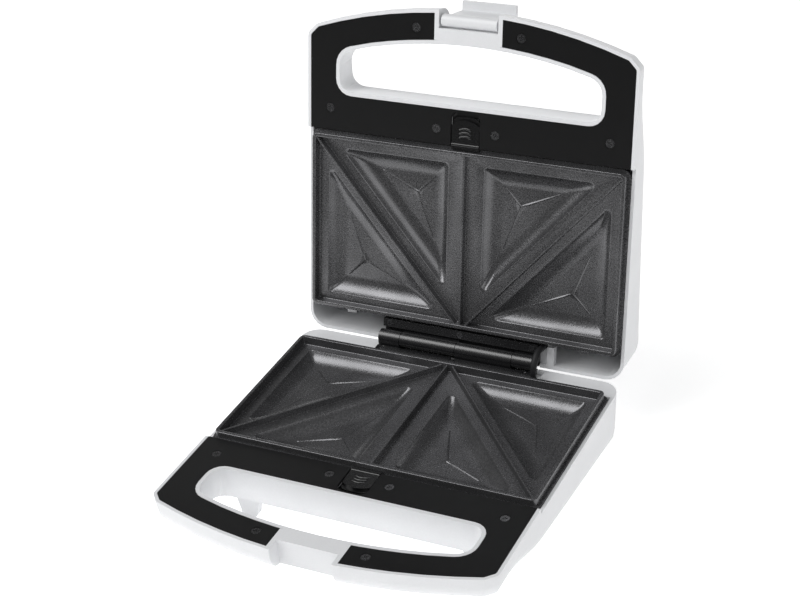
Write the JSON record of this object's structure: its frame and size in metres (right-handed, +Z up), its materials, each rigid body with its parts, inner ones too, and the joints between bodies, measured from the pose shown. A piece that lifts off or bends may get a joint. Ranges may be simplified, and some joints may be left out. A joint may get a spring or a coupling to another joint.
{
  "type": "sandwich toaster",
  "caption": "Hinged sandwich toaster with a bowed carrying handle, triangle-pocket cooking plates, latch clip and plate release buttons, shown open",
  "frame": {"origin": "middle of the footprint box of the open toaster, on the table", "axes": "+X to the right seen from the handle side and along the hinge, +Y from the handle to the hinge, +Z up"},
  "size_m": [0.235, 0.3225, 0.273],
  "materials": {
    "white_plastic": "satin moulded",
    "black_plastic": "fine satin",
    "nonstick_aluminium": "non-stick coated",
    "hinge_plastic": "satin",
    "blackened_steel": "blackened",
    "aluminised_steel": "bright sheet",
    "element_steel": "oxidised tube",
    "foot_rubber": "matt",
    "sleeve_rubber": "satin",
    "wire_insulation": "matt",
    "ceramic": "fired",
    "red_lens": "clear tinted",
    "green_lens": "clear tinted",
    "lamp_glass": "clear",
    "fuse_metal": "plain",
    "bright_steel": "plated"
  },
  "bodies": {
    "base": {"base_shell": "white_plastic", "base_cover_panel": "black_plastic", "base_cooking_plate": "nonstick_aluminium", "base_plate_hooks": "bright_steel", "base_release_spring": "bright_steel", "base_heating_element": "element_steel", "base_element_brackets": "bright_steel", "base_reflector": "aluminised_steel", "base_reflector_screws": "bright_steel", "base_hinge_leaf": "hinge_plastic", "hinge_pin": "bright_steel", "base_panel_screws": "blackened_steel", "base_hinge_screws": "bright_steel", "rear_foot_pads": "foot_rubber", "thermal_fuse": "fuse_metal", "terminal_block": "ceramic", "base_wiring": "wire_insulation", "wire_sleeve": "sleeve_rubber"},
    "lid": {"lid_shell": "white_plastic", "lid_cover_panel": "black_plastic", "lid_cooking_plate": "nonstick_aluminium", "lid_plate_hooks": "bright_steel", "lid_release_spring": "bright_steel", "lid_heating_element": "element_steel", "lid_element_brackets": "bright_steel", "lid_reflector": "aluminised_steel", "lid_reflector_screws": "bright_steel", "lid_hinge_leaf": "hinge_plastic", "lid_panel_screws": "blackened_steel", "lid_hinge_screws": "bright_steel", "thermostat": "ceramic", "lid_wiring": "wire_insulation", "power_lamp_lens": "red_lens", "ready_lamp_lens": "green_lens", "indicator_lamps": "lamp_glass", "latch_pin": "bright_steel"},
    "latch": {"latch_clip": "white_plastic"},
    "base_button": {"base_release_button": "black_plastic"},
    "lid_button": {"lid_release_button": "black_plastic"}
  },
  "joints": [
    {"name": "lid_hinge", "type": "hinge", "parent": "base", "child": "lid", "pos_m": [0, 0.07018, 0.0482], "axis": [1, 0, 0], "range_deg": [0, 102.97], "deforming": ["wire_sleeve"]},
    {"name": "latch_pivot", "type": "hinge", "parent": "lid", "child": "latch", "pos_m": [0, 0.12796, 0.2648], "axis": [1, 0, 0], "range_deg": [0, 180]},
    {"name": "base_release", "type": "slide", "parent": "base", "child": "base_button", "axis": [0, -1, 0], "range_m": [0, 0.0035], "stiffness_N_per_m": 400, "deforming": ["base_release_spring"]},
    {"name": "lid_release", "type": "slide", "parent": "lid", "child": "lid_button", "axis": [0, 0.2244, 0.9745], "range_m": [0, 0.0035], "stiffness_N_per_m": 400, "deforming": ["lid_release_spring"]}
  ]
}
